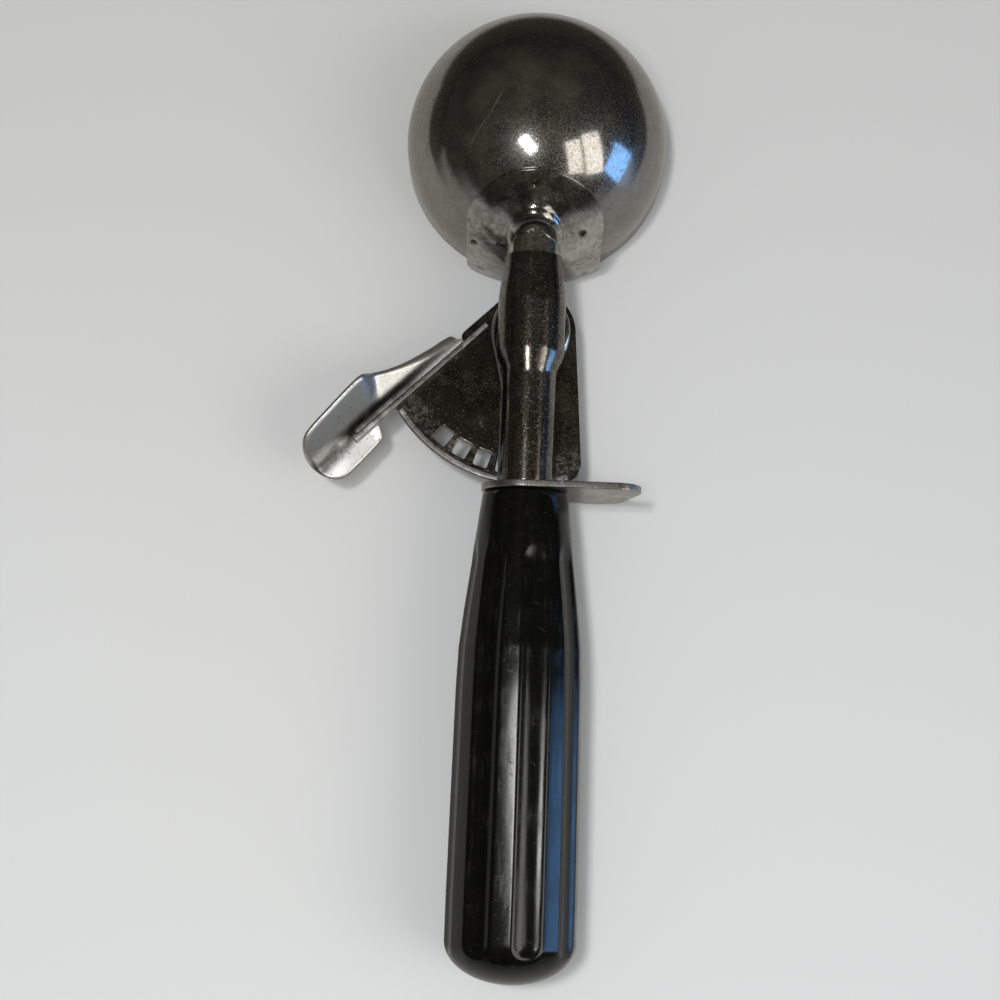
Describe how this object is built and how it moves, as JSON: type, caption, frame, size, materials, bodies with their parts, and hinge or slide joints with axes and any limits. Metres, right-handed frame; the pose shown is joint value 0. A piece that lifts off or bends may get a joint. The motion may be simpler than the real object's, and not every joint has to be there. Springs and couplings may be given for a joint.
{
  "type": "lever ice cream scoop",
  "caption": "Round ice cream scoop with a thumb lever whose toothed sector turns a scraper blade inside the bowl; fluted black handle.",
  "frame": {"origin": "centre of the bowl's mouth, in the plane of its rim", "axes": "+Z from the mouth to the top of the dome, +Y from the handle to the bowl's far lip, thumb lever on -X"},
  "size_m": [0.0777, 0.2126, 0.035],
  "materials": {
    "bowl_steel": "polished plated steel, dulled by use",
    "bracket_steel": "worn plated sheet",
    "shank_steel": "worn plated sheet with specks",
    "guard_steel": "worn plated sheet",
    "sector_steel": "worn plated sheet, dull on the face",
    "lever_steel": "satin sheet with fine scratches",
    "blade_steel": "satin spring steel",
    "shaft_steel": "turned steel",
    "pinion_steel": "cut steel",
    "bush_brass": "turned brass",
    "pivot_steel": "turned steel",
    "spring_steel": "drawn wire",
    "handle_black": "polished black"
  },
  "bodies": {
    "frame": {"bowl": "bowl_steel", "saddle_bracket": "bracket_steel", "bowl_bush": "bush_brass", "shank": "shank_steel", "guard_plate": "guard_steel", "rear_bush": "bush_brass", "pivot_post": "pivot_steel", "pivot_washer": "pivot_steel", "spring_core": "pivot_steel", "return_spring": "spring_steel", "tang": "shaft_steel", "handle_insert": "bush_brass", "handle": "handle_black"},
    "lever": {"sector_plate": "sector_steel", "thumb_lever": "lever_steel"},
    "scraper": {"scraper_shaft": "shaft_steel", "scraper_blade": "blade_steel", "blade_hub": "shaft_steel", "tip_stud": "shaft_steel", "stud_collar": "shaft_steel", "pinion": "pinion_steel", "pinion_pin": "pinion_steel", "shaft_washer": "pinion_steel"}
  },
  "joints": [
    {"name": "lever", "type": "hinge", "parent": "frame", "child": "lever", "pos_m": [0, -0.0442, 0.0106], "axis": [0, 0, 1], "range_deg": [0, 28.2], "stiffness_Nm_per_rad": 0.3, "springref_deg": -45.84, "deforming": ["return_spring"]},
    {"name": "scraper", "type": "hinge", "parent": "frame", "child": "scraper", "pos_m": [0, 0, 0.006], "axis": [0, 1, 0], "range_deg": [0, 180.5]}
  ],
  "couplings": [
    {"joint": "scraper", "follows": "lever", "ratio": 6.383}
  ]
}
